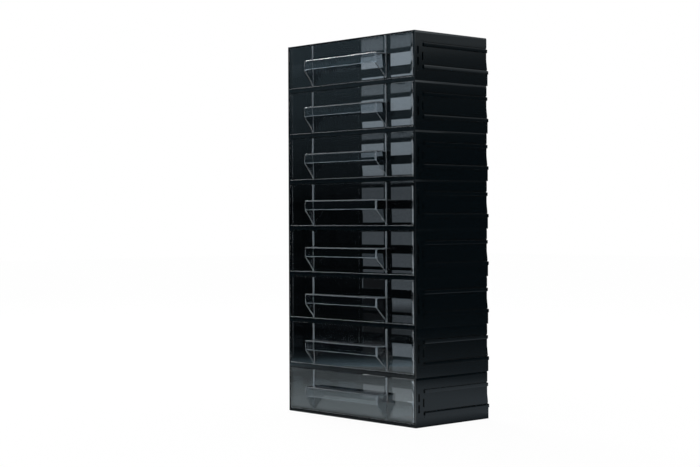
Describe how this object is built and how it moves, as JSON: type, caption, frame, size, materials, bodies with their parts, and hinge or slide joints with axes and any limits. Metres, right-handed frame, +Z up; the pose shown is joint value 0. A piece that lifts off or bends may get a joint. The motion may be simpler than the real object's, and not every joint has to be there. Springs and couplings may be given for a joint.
{
  "type": "stack of small-parts drawer units",
  "caption": "Free-standing stack of identical interlocking drawer units, each a glossy black housing with a smoky clear drawer that slides out by a moulded finger pull.",
  "frame": {"origin": "on the resting face, midway between the sides and midway between front and back wall", "axes": "+Z up the stack, +X to the right seen from the front, +Y from the front to the back; drawers slide out along -Y"},
  "size_m": [0.199, 0.1219, 0.4008],
  "materials": {
    "housing_plastic": "glossy moulded black",
    "drawer_plastic": "polished smoky clear"
  },
  "bodies": {
    "root": {"housing_1": "housing_plastic", "housing_2": "housing_plastic", "housing_3": "housing_plastic", "housing_4": "housing_plastic", "housing_5": "housing_plastic", "housing_6": "housing_plastic", "housing_7": "housing_plastic", "housing_8": "housing_plastic"},
    "drawer_body_1": {"drawer_1": "drawer_plastic"},
    "drawer_body_2": {"drawer_2": "drawer_plastic"},
    "drawer_body_3": {"drawer_3": "drawer_plastic"},
    "drawer_body_4": {"drawer_4": "drawer_plastic"},
    "drawer_body_5": {"drawer_5": "drawer_plastic"},
    "drawer_body_6": {"drawer_6": "drawer_plastic"},
    "drawer_body_7": {"drawer_7": "drawer_plastic"},
    "drawer_body_8": {"drawer_8": "drawer_plastic"}
  },
  "joints": [
    {"name": "drawer_1_slide", "type": "slide", "parent": "root", "child": "drawer_body_1", "axis": [0, -1, 0], "range_m": [0, 0.08]},
    {"name": "drawer_2_slide", "type": "slide", "parent": "root", "child": "drawer_body_2", "axis": [0, -1, 0], "range_m": [0, 0.08]},
    {"name": "drawer_3_slide", "type": "slide", "parent": "root", "child": "drawer_body_3", "axis": [0, -1, 0], "range_m": [0, 0.08]},
    {"name": "drawer_4_slide", "type": "slide", "parent": "root", "child": "drawer_body_4", "axis": [0, -1, 0], "range_m": [0, 0.08]},
    {"name": "drawer_5_slide", "type": "slide", "parent": "root", "child": "drawer_body_5", "axis": [0, -1, 0], "range_m": [0, 0.08]},
    {"name": "drawer_6_slide", "type": "slide", "parent": "root", "child": "drawer_body_6", "axis": [0, -1, 0], "range_m": [0, 0.08]},
    {"name": "drawer_7_slide", "type": "slide", "parent": "root", "child": "drawer_body_7", "axis": [0, -1, 0], "range_m": [0, 0.08]},
    {"name": "drawer_8_slide", "type": "slide", "parent": "root", "child": "drawer_body_8", "axis": [0, -1, 0], "range_m": [0, 0.08]}
  ]
}
